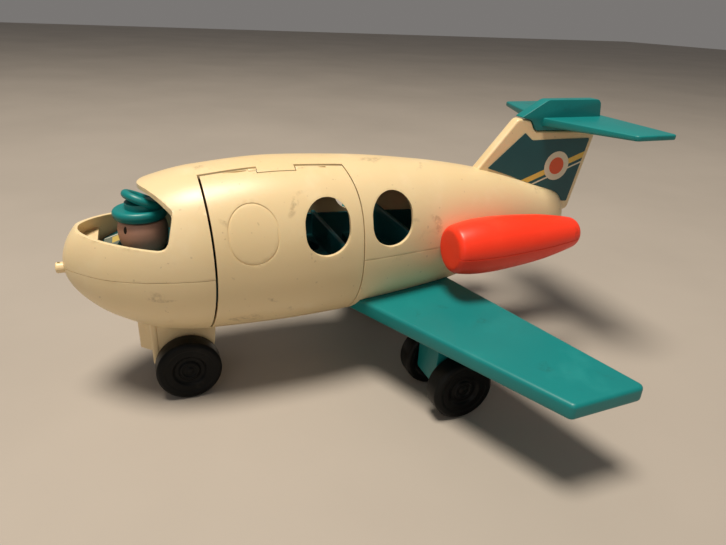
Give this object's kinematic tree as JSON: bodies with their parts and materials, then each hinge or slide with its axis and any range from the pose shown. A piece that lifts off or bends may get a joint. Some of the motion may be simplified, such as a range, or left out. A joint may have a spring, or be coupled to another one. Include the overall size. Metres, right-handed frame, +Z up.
{
  "type": "toy airplane",
  "caption": "Toy jet airplane with a hinged cabin door, open round windows, swivelling pilot, side engines, T-tail and rolling wheels.",
  "frame": {"origin": "on the ground under the middle of the bounding box, with the wheels touching z = 0", "axes": "+Z up, -Y forwards to the nose, +X to the port side, which has the door"},
  "size_m": [0.336, 0.3692, 0.1753],
  "materials": {
    "cream_shell": "aged ivory injection-moulded plastic, satin gloss, light scuffs",
    "turquoise": "moulded turquoise plastic, satin gloss",
    "interior_teal": "dark teal moulded plastic",
    "engine_orange": "bright orange-red blow-moulded plastic, satin gloss",
    "black_wheel": "hard black plastic, soft gloss, dusty tread",
    "steel": "plain steel",
    "face": "painted matte plastic",
    "printed_card": "printed card, dull",
    "printed_label": "printed vinyl label"
  },
  "bodies": {
    "airframe": {"fuselage_upper_shell": "cream_shell", "fuselage_lower_shell": "cream_shell", "tow_peg": "cream_shell", "door_hinge_pin": "steel", "seat_deck": "interior_teal", "cockpit_insert": "interior_teal", "cockpit_card": "printed_card", "wing": "turquoise", "stabilizer": "turquoise", "engine_port": "engine_orange", "engine_starboard": "engine_orange", "fin_decal_port": "printed_label", "fin_decal_starboard": "printed_label", "shell_screw_nose": "steel", "shell_screw_port": "steel", "shell_screw_starboard": "steel", "shell_screw_tail": "steel", "wing_screw_front": "steel", "wing_screw_rear": "steel"},
    "door": {"cabin_door": "cream_shell"},
    "pilot": {"pilot_head": "face", "pilot_cap": "turquoise", "pilot_body": "interior_teal"},
    "nose_gear": {"nose_axle": "steel", "nose_wheel_port": "black_wheel", "nose_wheel_starboard": "black_wheel"},
    "main_gear_port": {"main_axle_port": "steel", "main_wheel_port_outer": "black_wheel", "main_wheel_port_inner": "black_wheel"},
    "main_gear_starboard": {"main_axle_starboard": "steel", "main_wheel_starboard_outer": "black_wheel", "main_wheel_starboard_inner": "black_wheel"}
  },
  "joints": [
    {"name": "door_hinge", "type": "hinge", "parent": "airframe", "child": "door", "pos_m": [0.016, -0.061, 0.1399], "axis": [0, -1, 0], "range_deg": [0, 100]},
    {"name": "pilot_swivel", "type": "hinge", "parent": "airframe", "child": "pilot", "pos_m": [0, -0.136, 0.1], "axis": [0, 0, 1], "range_deg": [-65, 25]},
    {"name": "nose_wheels_roll", "type": "hinge", "parent": "airframe", "child": "nose_gear", "pos_m": [0, -0.1194, 0.0196], "axis": [1, 0, 0], "continuous": true},
    {"name": "port_wheels_roll", "type": "hinge", "parent": "airframe", "child": "main_gear_port", "pos_m": [0.07, 0.033, 0.0196], "axis": [1, 0, 0], "continuous": true},
    {"name": "starboard_wheels_roll", "type": "hinge", "parent": "airframe", "child": "main_gear_starboard", "pos_m": [-0.07, 0.033, 0.0196], "axis": [1, 0, 0], "continuous": true}
  ]
}
